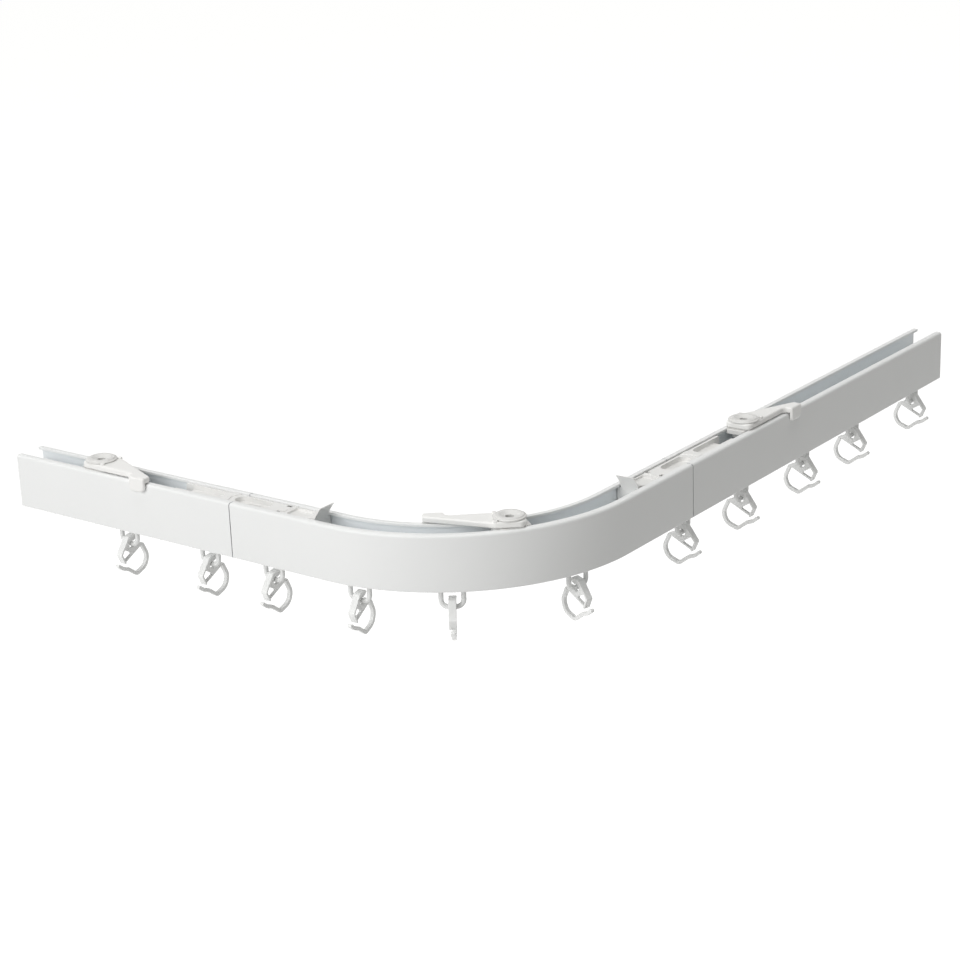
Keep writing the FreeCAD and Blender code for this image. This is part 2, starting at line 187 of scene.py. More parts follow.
def rounded(corners, steps=5):
    """Closed outline through (across, up, radius) corners, each rounded by a tangent arc."""
    points = []
    for index, (across, up, radius) in enumerate(corners):
        here = Vector((across, up))
        if radius == 0:
            points.append(here)
            continue
        before = (Vector(corners[index - 1][:2]) - here).normalized()
        after = (Vector(corners[(index + 1) % len(corners)][:2]) - here).normalized()
        half_angle = before.angle(after) / 2
        centre = here + (before + after).normalized() * (radius / math.sin(half_angle))
        first = here + before * (radius / math.tan(half_angle)) - centre
        last = here + after * (radius / math.tan(half_angle)) - centre
        turn = math.pi - 2 * half_angle
        for step in range(steps + 1):
            share = step / steps
            spoke = first * math.sin((1 - share) * turn) + last * math.sin(share * turn)
            points.append(centre + spoke / math.sin(turn))
    return points


inner_half = half_width - wall
upper_floor = -top_lip_thickness - top_channel_depth
lower_floor = bottom_lip_thickness - track_height
lower_roof = lower_floor + glider_channel_height
slot_edge = half_width - top_lip_width
lip_foot = -top_lip_thickness + fine_radius / 2
channel_foot = upper_floor - fine_radius / 2
half_profile = [
    (inner_half, lower_roof, fine_radius),
    (inner_half, lower_floor, fine_radius),
    (glider_slot_width / 2, lower_floor, fine_radius),
    (glider_slot_width / 2, -track_height, fine_radius),
    (half_width, -track_height, bottom_edge_radius),
    (half_width, 0.0, top_edge_radius),
    (slot_edge, 0.0, fine_radius),
    (slot_edge, -top_lip_thickness, fine_radius),
    (inner_half, -top_lip_thickness, fine_radius),
    (inner_half, upper_floor, fine_radius),
]
mirrored_half = [(-across, up, radius) for across, up, radius in reversed(half_profile)]
track_outline = rounded(half_profile + mirrored_half)
chamber_floor = lower_roof + web_thickness
chamber_roof = upper_floor - web_thickness
chamber_outline = rounded([
    (inner_half, chamber_roof, fine_radius), (inner_half, chamber_floor, fine_radius),
    (-inner_half, chamber_floor, fine_radius), (-inner_half, chamber_roof, fine_radius)])


def mesh_of(name, shape):
    """Mesh from a bmesh, which goes."""
    mesh = bpy.data.meshes.new(name)
    shape.to_mesh(mesh)
    shape.free()
    return mesh


def straight_bar(name, stations):
    """Bar of the tracks' profile along x. The face attribute sawn marks its ends, and channel the
    walls and floor of its upper channel, which are given painted light."""
    shape = bmesh.new()
    sawn = shape.faces.layers.bool.new("sawn")
    channel = shape.faces.layers.bool.new("channel")
    end_edges = ([], [])
    for outline in (track_outline, chamber_outline):
        rings = []
        for along in stations:
            rings.append([shape.verts.new((along, across, up)) for across, up in outline])
        count = len(outline)
        for near, far in zip(rings, rings[1:]):
            for index in range(count):
                after = (index + 1) % count
                side = shape.faces.new((near[index], near[after], far[after], far[index]))
                side.smooth = True
                middle = (outline[index] + outline[after]) / 2
                inside = abs(middle.x) < inner_half + fine_radius / 2
                side[channel] = inside and lip_foot > middle.y > channel_foot
        for ring, edges in zip((rings[0], rings[-1]), end_edges):
            edges.extend(shape.edges.get((ring[index - 1], ring[index])) for index in range(count))
    for edges in end_edges:
        for face in bmesh.ops.triangle_fill(shape, edges=edges, use_beauty=True)["geom"]:
            if isinstance(face, bmesh.types.BMFace):
                face[sawn] = True
    bmesh.ops.recalc_face_normals(shape, faces=shape.faces)
    for edge in shape.edges:
        edge.smooth = edge.calc_face_angle(0.0) < profile_crease
    return linked(name, mesh_of(name, shape))


def coat(name, colour, roughness):
    """Material with its nodes ready, and the graph and shader that its looks are added to."""
    material = bpy.data.materials.new(name)
    material.use_nodes = True
    graph = Graph(material.node_tree)
    shader = material.node_tree.nodes["Principled BSDF"]
    shader.inputs["Base Color"].default_value = colour + (1.0,)
    shader.inputs["Roughness"].default_value = roughness
    return material, graph, shader


def grain(graph, scale, detail=2.0, stretch=(1.0, 1.0, 1.0)):
    """Noise in the piece's own coordinates, from 0 to 1, with so many grains to the metre."""
    place = graph.node("ShaderNodeTexCoord", output=3)
    placed = graph.node("ShaderNodeMapping", None, {"Vector": place, "Scale": stretch})
    return graph.node("ShaderNodeTexNoise", None, {"Vector": placed, "Scale": scale, "Detail": detail})


def tinted(graph, shader, amount, pale, deep):
    """Base colour that runs from pale to deep with an amount."""
    colours = {0: amount, 6: pale + (1,), 7: deep + (1,)}
    mix = graph.node("ShaderNodeMix", {"data_type": "RGBA"}, colours, 2)
    graph.connect(mix, shader, "Base Color")


def bumped(graph, shader, height, depth):
    """Relief of so many metres at a height of 1."""
    bump = graph.node("ShaderNodeBump", None, {"Height": height, "Distance": depth})
    graph.connect(bump, shader, "Normal")


coated_white, paint, painted = coat("coated_white", (0.84, 0.85, 0.86), 0.38)
orange_peel = grain(paint, 1400)
die_lines = grain(paint, 2400, 2.0, (0.01, 0.01, 1.0))
tinted(paint, painted, grain(paint, 30), (0.85, 0.855, 0.852), (0.825, 0.832, 0.83))
paint.connect(grain(paint, 220) * 0.12 + 0.32, painted, "Roughness")
bumped(paint, painted, orange_peel * 0.7 + die_lines * 0.3, 0.00002)
painted.inputs["Specular IOR Level"].default_value = 0.35

# Painted light: the upper channel's walls and floor get a lighter, cooler colour than the outer coat.
# This stands in for light inside the channel, with a random tint from the grain on top of it.
channel_white_painted_light, channel_painted_light, channel_painted_light_shader = coat("channel_white_painted_light", (0.86, 0.885, 0.9), 0.42)
tinted(channel_painted_light, channel_painted_light_shader, grain(channel_painted_light, 45), (0.87, 0.895, 0.91), (0.835, 0.865, 0.88))
channel_painted_light.connect(grain(channel_painted_light, 300) * 0.14 + 0.35, channel_painted_light_shader, "Roughness")
bumped(channel_painted_light, channel_painted_light_shader, grain(channel_painted_light, 2400, 2.0, (0.01, 0.01, 1.0)), 0.00001)

sawn_aluminium, cut, bare = coat("sawn_aluminium", (0.66, 0.67, 0.69), 0.35)
bare.inputs["Metallic"].default_value = 1.0
saw_marks = grain(cut, 900, 3.0, (1.0, 1.0, 8.0))
cut.connect(saw_marks * 0.3 + 0.25, bare, "Roughness")
bumped(cut, bare, saw_marks, 0.00004)


def run_tree(name, inputs):
    """Geometry tree that takes a geometry and the inputs named, and its graph and inputs."""
    tree = bpy.data.node_groups.new(name, "GeometryNodeTree")
    for label, kind in [("Geometry", "NodeSocketGeometry")] + inputs:
        tree.interface.new_socket(label, in_out="INPUT", socket_type=kind)
    tree.interface.new_socket("Geometry", in_out="OUTPUT", socket_type="NodeSocketGeometry")
    graph = Graph(tree)
    entrance = tree.nodes.new("NodeGroupInput")
    signals = {socket.name: Signal(graph, socket) for socket in entrance.outputs if socket.name}
    return tree, graph, signals


def on_the_run(distance, inwards, radius):
    """x, y and heading of points at a distance along the run, from the bend's centre."""
    heading = distance.math("MAXIMUM", 0.0).math("MINIMUM", radius * (math.pi / 2)) / radius
    straight = distance - heading * radius
    outwards = radius - inwards
    sine = heading.math("SINE")
    cosine = heading.math("COSINE")
    return outwards * sine + straight * cosine, straight * sine - outwards * cosine, heading


def shaped(name, source, tree, values, body, nodes):
    """Piece that a tree makes from a source, in place of CAD nodes."""
    modifier = source.modifiers.new(tree.name, "NODES")
    modifier.node_group = tree
    for item in tree.interface.items_tree:
        if item.in_out == "INPUT" and item.name in values:
            modifier[item.identifier] = values[item.name]
    bpy.context.view_layer.update()
    evaluated = source.evaluated_get(bpy.context.evaluated_depsgraph_get())
    mesh = bpy.data.meshes.new_from_object(evaluated)
    source.modifiers.remove(modifier)
    piece = linked(name, mesh)
    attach(piece, body)
    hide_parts(*nodes)
    return piece


# The bend as a tree: each point of a straight bar goes to its place on the run.
bend_tree, bend, bend_in = run_tree("bend_along_the_run", [
    ("Bend Radius", "NodeSocketFloat"), ("Bend Centre", "NodeSocketVector"),
    ("Coat", "NodeSocketMaterial"), ("Channel Coat", "NodeSocketMaterial"),
    ("Sawn End", "NodeSocketMaterial")])
bar_place = bend.node("GeometryNodeInputPosition")
bar_along, bar_inwards, bar_up = bend.outputs("ShaderNodeSeparateXYZ", {0: bar_place})
run_x, run_y = on_the_run(bar_along, bar_inwards, bend_in["Bend Radius"])[:2]
run_place = bend.node("ShaderNodeCombineXYZ", None, {0: run_x, 1: run_y, 2: bar_up})
track_place = bend.node(
    "ShaderNodeVectorMath", {"operation": "ADD"}, {0: run_place, 1: bend_in["Bend Centre"]})
bent = bend.node(
    "GeometryNodeSetPosition", None, {"Geometry": bend_in["Geometry"], "Position": track_place})
whole = bend.node("GeometryNodeRealizeInstances", None, {"Geometry": bent})
coated = bend.node("GeometryNodeSetMaterial", None, {"Geometry": whole, "Material": bend_in["Coat"]})
# The faces of the upper channel take the coat with painted light.
channel_faces = bend.node(
    "GeometryNodeInputNamedAttribute", {"data_type": "BOOLEAN"}, {"Name": "channel"})
lined = bend.node("GeometryNodeSetMaterial", None, {
    "Geometry": coated, "Selection": channel_faces, "Material": bend_in["Channel Coat"]})
sawn_faces = bend.node(
    "GeometryNodeInputNamedAttribute", {"data_type": "BOOLEAN"}, {"Name": "sawn"})
bend.result(bend.node("GeometryNodeSetMaterial", None, {
    "Geometry": lined, "Selection": sawn_faces, "Material": bend_in["Sawn End"]}))


def run_distance(x, y):
    """Distance along the run, past the start of the bend, of a point on its centre line."""
    if x < bend_centre.x:
        return x - bend_centre.x
    if y > bend_centre.y:
        return bend_length + y - bend_centre.y
    return math.atan2(x - bend_centre.x, bend_centre.y - y) * bend_radius


left_joint = run_distance(corner_low[0], left_line)
right_joint = run_distance(right_line, corner_high[1])
end_setback = 0.00012
round_the_bend = [bend_length * step / bend_stations for step in range(bend_stations + 1)]
track_stations = {
    "left_track": [
        run_distance(left_low[0], left_line), run_distance(left_high[0], left_line) - end_setback],
    "corner_track": [left_joint + end_setback] + round_the_bend + [right_joint - end_setback],
    "right_track": [
        run_distance(right_line, right_low[1]) + end_setback, run_distance(right_line, right_high[1])],
}
for node, stations in track_stations.items():
    bar = straight_bar(node + "_bar", stations)
    shaped(node + "_profile", bar, bend_tree, {
        "Bend Radius": bend_radius, "Bend Centre": bend_centre, "Coat": coated_white,
        "Channel Coat": channel_white_painted_light, "Sawn End": sawn_aluminium,
    }, "track", [node])
    bpy.data.objects.remove(bar)


# Gliders: one per hook, in milky grey plastic. A cropped runner with a crown rides on the two
# bottom lips, its neck fills their slot, and a ring of round wire hangs below for the hook's eye.
# Mouldings are drawn in millimetres along the run and above the track's top.
millimetre = 0.001
runner_size = (14.0, 14.4, 2.3)
runner_crop = 2.6
runner_corner_radius = 0.6
runner_play = 0.1
crown_size = (9.0, 6.4, 2.8)
crown_corner_radius = 0.8
neck_size = (12.8, 3.4)
neck_corner_radius = 0.6
ring_leg_offset = 5.3
ring_wire_radius = 1.25
ring_corner_radius = 3.6
wire_level = -38.6
sunk = 0.5
welding_distance = 0.0005
moulding_crease = math.radians(40)


def plastic(name, pale, deep, gloss):
    """Moulded plastic: faint clouds of colour, uneven gloss and the fine grain of its mould."""
    material, graph, shader = coat(name, pale, gloss)
    tinted(graph, shader, grain(graph, 90), pale, deep)
    graph.connect(grain(graph, 600) * 0.14 + gloss, shader, "Roughness")
    bumped(graph, shader, grain(graph, 2800), 0.000015)
    return material


milky_grey = plastic("milky_grey", (0.84, 0.845, 0.84), (0.79, 0.795, 0.79), 0.24)
milky_white = plastic("milky_white", (0.92, 0.925, 0.92), (0.88, 0.885, 0.88), 0.26)


def block_plan(length, width, radius, start=None, middle=0.0):
    """Outline of a rectangle along the run, centred or from a start, with rounded corners."""
    low = -length / 2 if start is None else start
    high = low + length
    near = middle - width / 2
    far = middle + width / 2
    return rounded([(low, near, radius), (high, near, radius), (high, far, radius), (low, far, radius)])


def moulding_from(curve):
    """Closed, smooth-shaded object from a curve, which goes."""
    name = curve.name
    drawn = linked(name, curve)
    bpy.context.view_layer.update()
    evaluated = drawn.evaluated_get(bpy.context.evaluated_depsgraph_get())
    mesh = bpy.data.meshes.new_from_object(evaluated)
    bpy.data.objects.remove(drawn)
    bpy.data.curves.remove(curve)
    shape = bmesh.new()
    shape.from_mesh(mesh)
    bmesh.ops.remove_doubles(shape, verts=shape.verts, dist=welding_distance)
    bmesh.ops.recalc_face_normals(shape, faces=shape.faces)
    for face in shape.faces:
        face.smooth = True
    shape.to_mesh(mesh)
    shape.free()
    return linked(name, mesh)


def plate(name, outlines, bottom, top, rim=0.3):
    """Flat moulding over outlines, the holes among them, with rims rounded by a small radius, which
    is no larger than the radius of the outlines' corners."""
    curve = bpy.data.curves.new(name, "CURVE")
    curve.dimensions = "2D"
    curve.fill_mode = "BOTH"
    curve.extrude = (top - bottom) / 2 - rim
    curve.bevel_depth = rim
    curve.bevel_resolution = 2
    curve.offset = -rim
    for outline in outlines:
        spline = curve.splines.new("POLY")
        spline.points.add(len(outline) - 1)
        for point, place in zip(spline.points, outline):
            point.co = (place[0], place[1], 0, 1)
        spline.use_cyclic_u = True
    made = moulding_from(curve)
    made.data.transform(Matrix.Translation((0, 0, (top + bottom) / 2)))
    return made


def round_bar(name, path, radius):
    """Closed bar of round section along points."""
    curve = bpy.data.curves.new(name, "CURVE")
    curve.dimensions = "3D"
    curve.bevel_depth = radius
    curve.bevel_resolution = 4
    curve.use_fill_caps = True
    spline = curve.splines.new("POLY")
    spline.points.add(len(path) - 1)
    for point, place in zip(spline.points, path):
        point.co = (place[0], place[1], place[2], 1)
    return moulding_from(curve)


def one_moulding(name, solids, cuts=()):
    """The solids joined to one closed moulding and the cuts taken out. Its flat faces are shaded
    flat, its rounded rims smooth and its creases sharp."""
    body = solids[0]
    tools = [("UNION", solid) for solid in solids[1:]] + [("DIFFERENCE", cut) for cut in cuts]
    for operation, tool in tools:
        joint = body.modifiers.new("joint", "BOOLEAN")
        joint.operation = operation
        joint.object = tool
    bpy.context.view_layer.update()
    evaluated = body.evaluated_get(bpy.context.evaluated_depsgraph_get())
    mesh = bpy.data.meshes.new_from_object(evaluated)
    if not mesh.polygons:
        raise RuntimeError(name + " came out empty")
    for used in solids + list(cuts):
        bpy.data.objects.remove(used)
    shape = bmesh.new()
    shape.from_mesh(mesh)
    bmesh.ops.remove_doubles(shape, verts=shape.verts, dist=welding_distance)
    bmesh.ops.dissolve_degenerate(shape, edges=shape.edges, dist=welding_distance)
    for face in shape.faces:
        face.smooth = True
    for edge in shape.edges:
        edge.smooth = edge.calc_face_angle(0.0) < moulding_crease
    shape.to_mesh(mesh)
    shape.free()
    made = linked(name, mesh)
    flat_faces = made.modifiers.new("flat_faces", "WEIGHTED_NORMAL")
    flat_faces.keep_sharp = True
    return made


runner_low = lower_floor / millimetre + runner_play
runner_high = runner_low + runner_size[2]
runner_end = runner_size[0] / 2
runner_side = runner_size[1] / 2
crop_end = runner_end - runner_crop
crop_side = runner_side - runner_crop
runner_corners = [
    (-runner_end, -crop_side), (-crop_end, -runner_side),
    (crop_end, -runner_side), (runner_end, -crop_side),
    (runner_end, crop_side), (crop_end, runner_side),
    (-crop_end, runner_side), (-runner_end, crop_side)]
runner_plan = rounded([(along, across, runner_corner_radius) for along, across in runner_corners])
crown_plan = block_plan(crown_size[0], crown_size[1], crown_corner_radius)
crown_high = runner_high + crown_size[2]
neck_plan = block_plan(neck_size[0], neck_size[1], neck_corner_radius)
neck_low = runner_play - track_height / millimetre
leg_top = runner_low + runner_size[2] / 2
ring_line = rounded([
    (-ring_leg_offset, leg_top, 0), (-ring_leg_offset, wire_level, ring_corner_radius),
    (ring_leg_offset, wire_level, ring_corner_radius), (ring_leg_offset, leg_top, 0)], steps=8)
glider_pattern = one_moulding("glider_pattern", [
    plate("runner", [runner_plan], runner_low, runner_high),
    plate("crown", [crown_plan], runner_high - sunk, crown_high, rim=0.5),
    plate("neck", [neck_plan], neck_low, runner_low + sunk, rim=0.2),
    round_bar("ring", [(along, 0, up) for along, up in ring_line], ring_wire_radius)])


# Each moulding hangs at its own distance along the run: one point there takes one instance of it.
hang_tree, hang, hang_in = run_tree("hang_on_the_run", [
    ("Distance", "NodeSocketFloat"), ("Turn", "NodeSocketFloat"), ("Bend Radius", "NodeSocketFloat"),
    ("Bend Centre", "NodeSocketVector"), ("Plastic", "NodeSocketMaterial")])
hang_x, hang_y, hang_heading = on_the_run(hang_in["Distance"], 0.0, hang_in["Bend Radius"])
hang_run = hang.node("ShaderNodeCombineXYZ", None, {0: hang_x, 1: hang_y})
hang_place = hang.node(
    "ShaderNodeVectorMath", {"operation": "ADD"}, {0: hang_run, 1: hang_in["Bend Centre"]})
hang_turn = hang.node("ShaderNodeCombineXYZ", None, {2: hang_heading + hang_in["Turn"]})
hang_point = hang.node("GeometryNodePoints", None, {"Count": 1, "Position": hang_place})
hung_piece = hang.node("GeometryNodeInstanceOnPoints", None, {
    "Points": hang_point, "Instance": hang_in["Geometry"], "Rotation": hang_turn,
    "Scale": (millimetre, millimetre, millimetre)})
hung_whole = hang.node("GeometryNodeRealizeInstances", None, {"Geometry": hung_piece})
hang.result(hang.node(
    "GeometryNodeSetMaterial", None, {"Geometry": hung_whole, "Material": hang_in["Plastic"]}))


def hang_moulding(name, pattern, distance, turn, material, body, node):
    """Moulding in place of a CAD node, at a distance along the run and turned there."""
    return shaped(name, pattern, hang_tree, {
        "Distance": distance, "Turn": turn, "Bend Radius": bend_radius,
        "Bend Centre": bend_centre, "Plastic": material}, body, [node])


def middle_distance(node):
    """Distance along the run of the middle of a CAD node."""
    low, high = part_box(node)
    return run_distance((low[0] + high[0]) / 2, (low[1] + high[1]) / 2)


glider_numbers = sorted(node[-2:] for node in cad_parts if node.startswith("glider_"))
for number in glider_numbers:
    node = "glider_" + number
    hang_moulding("moulded_" + node, glider_pattern, middle_distance(node), 0.0,
                  milky_grey, node, node)
bpy.data.objects.remove(glider_pattern)


# Curtain hooks: a stiff yoke with an open eye round the ring's wire, a thin web inside a wide
# flange, and a springy strap that runs round under it as the loop for the heading tape. They are
# drawn outwards and up from the wire.
eye_radius = 1.8
eye_drop = 0.45
eye_mouth_width = 2.0
eye_mouth_rise = math.radians(12.0)
eye_lip_radius = 0.35
eye_steps = 24
yoke_web_thickness = 1.8
yoke_flange_width = 3.8
yoke_flange_thickness = 1.1
strap_thickness = 2.2
strap_width = 1.9
hook_hang = math.radians(-7.98)
yoke_before_mouth = [(-5.6, -4.1, 0.3), (-8.1, -3.3, 0.5), (-4.4, -1.3, 0.4)]
yoke_after_mouth = [
    (-3.7, 2.8, 0.5), (-2.4, 4.7, 0.6), (2.2, 4.6, 1.2), (9.2, -2.6, 0.7), (7.5, -8.4, 0.8)]
yoke_window = [(5.9, -0.9, 0.3), (8.1, -3.0, 0.3), (6.7, -6.9, 0.3), (1.4, -5.3, 0.3), (1.6, -4.5, 0.3)]
yoke_flange_line = [
    (-3.0, 3.0, 0.0), (-2.17, 4.24, 0.6), (2.01, 4.15, 1.2), (8.69, -2.72, 0.7), (7.12, -8.1, 0.0)]
strap_line = [
    (-6.9, -3.6, 0.0), (-9.3, -11.2, 6.0), (-6.2, -15.9, 5.5), (0.4, -17.3, 2.2),
    (5.4, -12.2, 2.5), (8.6, -10.5, 2.5), (11.7, -7.2, 0.0)]


def yoke_plan():
    """Outline of the yoke: into the eye by its mouth, round the wire and out again. The wire lies
    in the top of the eye, whose middle is lower."""
    eye_middle = Vector((0, -eye_drop))
    inwards = Vector((-math.cos(eye_mouth_rise), math.sin(eye_mouth_rise)))
    across = Vector((math.sin(eye_mouth_rise), math.cos(eye_mouth_rise))) * (eye_mouth_width / 2)
    edge_from = Vector(yoke_before_mouth[-1][:2])
    edge_way = Vector(yoke_after_mouth[0][:2]) - edge_from
    lips = []
    for side in (-1, 1):
        start = eye_middle + across * side
        gap = edge_from - start
        reach = gap.cross(edge_way) / inwards.cross(edge_way)
        lips.append(start + inwards * reach)
    depth = math.sqrt(eye_radius ** 2 - (eye_mouth_width / 2) ** 2)
    low = inwards * depth - across
    high = inwards * depth + across
    first = math.atan2(low.y, low.x)
    last = math.atan2(high.y, high.x)
    round_eye = []
    for step in range(eye_steps + 1):
        angle = first + (last - first) * step / eye_steps
        round_eye.append((eye_radius * math.cos(angle), eye_radius * math.sin(angle) - eye_drop, 0))
    lower_lip = (lips[0].x, lips[0].y, eye_lip_radius)
    upper_lip = (lips[1].x, lips[1].y, eye_lip_radius)
    return rounded(yoke_before_mouth + [lower_lip] + round_eye + [upper_lip] + yoke_after_mouth)


def strip_plan(line, width, steps=8):
    """Outline of a strip of even width along an open, rounded line, with a round far end."""
    middle = rounded(line, steps)
    sides = ([], [])
    for index, point in enumerate(middle):
        way = (middle[min(index + 1, len(middle) - 1)] - middle[max(index - 1, 0)]).normalized()
        off = Vector((-way.y, way.x)) * (width / 2)
        sides[0].append(point + off)
        sides[1].append(point - off)
    tip = middle[-1] - (middle[-1] - middle[-2]).normalized() * (width / 2)
    start = math.atan2(sides[0][-1].y - middle[-1].y, sides[0][-1].x - middle[-1].x)
    sides[0].pop()
    sides[1].pop()
    cap = []
    for step in range(steps + 1):
        angle = start - math.pi * step / steps
        cap.append(tip + Vector((math.cos(angle), math.sin(angle))) * (width / 2))
    return sides[0] + cap + sides[1][::-1]


def middle_plate(name, outlines, thickness):
    """Plate whose thickness lies evenly on both sides of the hook's middle."""
    return plate(name, outlines, -thickness / 2, thickness / 2)


hook_pattern = one_moulding("hook_pattern", [
    middle_plate("web", [yoke_plan(), rounded(yoke_window)], yoke_web_thickness),
    middle_plate("flange", [strip_plan(yoke_flange_line, yoke_flange_thickness)], yoke_flange_width),
    middle_plate("strap", [strip_plan(strap_line, strap_width)], strap_thickness)])
outwards_up_to_run = Matrix(((0, 0, -1), (-1, 0, 0), (0, 1, 0))).to_4x4()
hanging = Matrix.Rotation(-hook_hang, 4, "X")
hook_pattern.data.transform(Matrix.Translation((0, 0, wire_level)) @ hanging @ outwards_up_to_run)
for number in glider_numbers:
    hang_moulding("moulded_hook_" + number, hook_pattern, middle_distance("glider_" + number), 0.0,
                  milky_white, "hook_" + number, "curtain_hook_" + number)
bpy.data.objects.remove(hook_pattern)


# Connectors, ceiling fittings and locking levers: white moulded plastic, greyer in the fittings
# and brightest in the levers.
moulded_white = plastic("moulded_white", (0.83, 0.825, 0.812), (0.795, 0.79, 0.775), 0.3)
fitting_white = plastic("fitting_white", (0.735, 0.73, 0.715), (0.70, 0.695, 0.68), 0.34)
lever_white = plastic("lever_white", (0.885, 0.88, 0.865), (0.85, 0.845, 0.83), 0.28)


def upright(made):
    """A plate drawn along the run and up, stood on its edge: its thickness now lies outwards."""
    made.data.transform(Matrix.Rotation(math.pi / 2, 4, "X"))
    return made


def turned(name, profile, steps=48):
    """Closed solid of revolution about the upright axis, from (radius, height) points that start
    and end on the axis."""
    shape = bmesh.new()
    rings = []
    for radius, height in profile:
        if radius == 0:
            rings.append([shape.verts.new((0, 0, height))] * steps)
            continue
        ring = []
        for step in range(steps):
            turn = 2 * math.pi * step / steps
            ring.append(shape.verts.new((radius * math.cos(turn), radius * math.sin(turn), height)))
        rings.append(ring)
    for low, high in zip(rings, rings[1:]):
        for index in range(steps):
            after = (index + 1) % steps
            corners = []
            for corner in (low[index], low[after], high[after], high[index]):
                if corner not in corners:
                    corners.append(corner)
            shape.faces.new(corners).smooth = True
    bmesh.ops.recalc_face_normals(shape, faces=shape.faces)
    return linked(name, mesh_of(name, shape))


# Ceiling fittings: a shallow foot and a post with lugs under the lips, a thin seat on top of them,
# and a boss with a stepped round head, whose dished hole takes the screw into the ceiling. The
# head's rim and the dish are given as points: (in from the head's edge, up from its underside) and
# (radius, down from the head's top).
lip_underside = -top_lip_thickness / millimetre
slot_width = 2 * slot_edge / millimetre
channel_width = 2 * inner_half / millimetre
foot_length = 18.0
foot_width = slot_width - 1.0
foot_plate_depth = 2.2
foot_plate_high = 0.2
foot_corner_radius = 1.0
foot_depth = 6.0
post_length = 6.0
lug_length = 9.0
lug_corner_radius = 0.5
lug_width = channel_width - 1.0
lug_top = lip_underside - 0.15
lug_thickness = 2.2
seat_length = 14.0
seat_width = 15.0
seat_thickness = 0.35
seat_corner_radius = 3.6
boss_radius = 5.5
lever_play = 0.1
lever_thickness = 3.05
lever_low = seat_thickness + lever_play
lever_high = lever_low + lever_thickness
head_low = lever_high + lever_play
head_thickness = 1.5
head_high = head_low + head_thickness
head_radius = 8.0
head_rim = [
    (0.25, 0.0), (0.0, 0.25), (0.0, 0.55), (0.2, 0.8), (0.9, 0.95), (1.05, 1.15), (1.2, 1.38),
    (1.5, head_thickness)]
screw_hole_radius = 2.1
screw_dish = [(2.1, 1.3), (2.3, 1.15), (3.5, 0.75), (4.3, 0.4), (4.8, 0.1), (5.2, -0.02)]
past_the_end = 1.0

boss_low = seat_thickness - sunk
boss_and_head = turned("boss_and_head", (
    [(0, boss_low), (boss_radius, boss_low), (boss_radius, head_low)]
    + [(head_radius - inset, head_low + rise) for inset, rise in head_rim]
    + [(0, head_high)]))
drill_low = -foot_depth - past_the_end
drill_high = head_high + past_the_end
screw_hole = turned("screw_hole", (
    [(0, drill_low), (screw_hole_radius, drill_low)]
    + [(radius, head_high - depth) for radius, depth in screw_dish]
    + [(screw_dish[-1][0], drill_high), (0, drill_high)]))
foot_plan = block_plan(foot_length, foot_width, foot_corner_radius)
post_plan = block_plan(post_length, foot_width, foot_corner_radius)
lug_plan = block_plan(lug_length, lug_width, lug_corner_radius)
seat_plan = block_plan(seat_length, seat_width, seat_corner_radius)
fitting_pattern = one_moulding("fitting_pattern", [
    plate("foot", [foot_plan], -foot_plate_depth, foot_plate_high),
    plate("post", [post_plan], -foot_depth, sunk - foot_plate_depth),
    plate("lugs", [lug_plan], lug_top - lug_thickness, lug_top),
    plate("seat", [seat_plan], 0.0, seat_thickness, rim=0.1),
    boss_and_head], [screw_hole])


# Locking levers: they turn round the bosses, and the clip at the tip drops over the track's wall.
# On the bend the lever is turned until both ends of its clip clear the curved inner wall.
bore_radius = boss_radius + 0.06
lever_back_length = 7.4
lever_edge = seat_width / 2
lever_back_radius = 3.6
shoulder_start = 7.1
shoulder_radius = 5.0
neck_radius = 2.5
bore_steps = 64
clip_start = 30.3
clip_length = 9.9
clip_thickness = 2.1
clip_gap = 0.35
clip_drop = 4.0
clip_corner = 1.4
clip_foot_radius = 1.6
clip_tip_radius = 3.0
tip_width = 5.2
stop_size = (2.2, 1.8)
stop_height = 0.9
stop_start = 5.9
stop_offset = 6.2
stop_corner_radius = 0.7

clip_tip = clip_start + clip_length
clip_face = half_width / millimetre + clip_gap
clip_back = clip_face + clip_thickness
lever_plan = rounded([
    (-lever_back_length, lever_edge, lever_back_radius),
    (-lever_back_length, -lever_edge, lever_back_radius),
    (clip_start - clip_corner, -lever_edge, neck_radius), (clip_start, -clip_back, clip_corner),
    (clip_tip, -clip_back, clip_corner), (clip_tip, tip_width - clip_back, clip_corner),
    (shoulder_start, lever_edge, shoulder_radius)], steps=8)
bore_plan = []
for step in range(bore_steps):
    turn = 2 * math.pi * step / bore_steps
    bore_plan.append(Vector((math.cos(turn), math.sin(turn))) * bore_radius)
clip_side = rounded([
    (clip_start, -clip_drop, clip_foot_radius), (clip_tip, -clip_drop, clip_tip_radius),
    (clip_tip, lever_high, clip_corner), (clip_start, lever_high, clip_corner)], steps=8)
lever_solids = [
    plate("lever", [lever_plan, bore_plan], lever_low, lever_high, rim=0.9),
    upright(plate("clip", [clip_side], clip_face, clip_back, rim=1.0))]
for side in (-1, 1):
    stop_plan = block_plan(
        stop_size[0], stop_size[1], stop_corner_radius, start=stop_start, middle=side * stop_offset)
    lever_solids.append(plate("stop", [stop_plan], lever_high - sunk, lever_high + stop_height))
lever_pattern = one_moulding("lever_pattern", lever_solids)


def clip_swing():
    """Turn of the bend's lever that brings the ends of its clip to the curved inner wall."""
    radius = bend_radius / millimetre
    wall_radius = radius - half_width / millimetre - clip_gap
    turns = []
    for reach in (clip_start, clip_tip):
        span = math.hypot(reach, clip_face)
        rise = (span ** 2 + radius ** 2 - wall_radius ** 2) / (2 * radius * span)
        turns.append(math.asin(rise) - math.atan2(clip_face, reach))
    return max(turns)


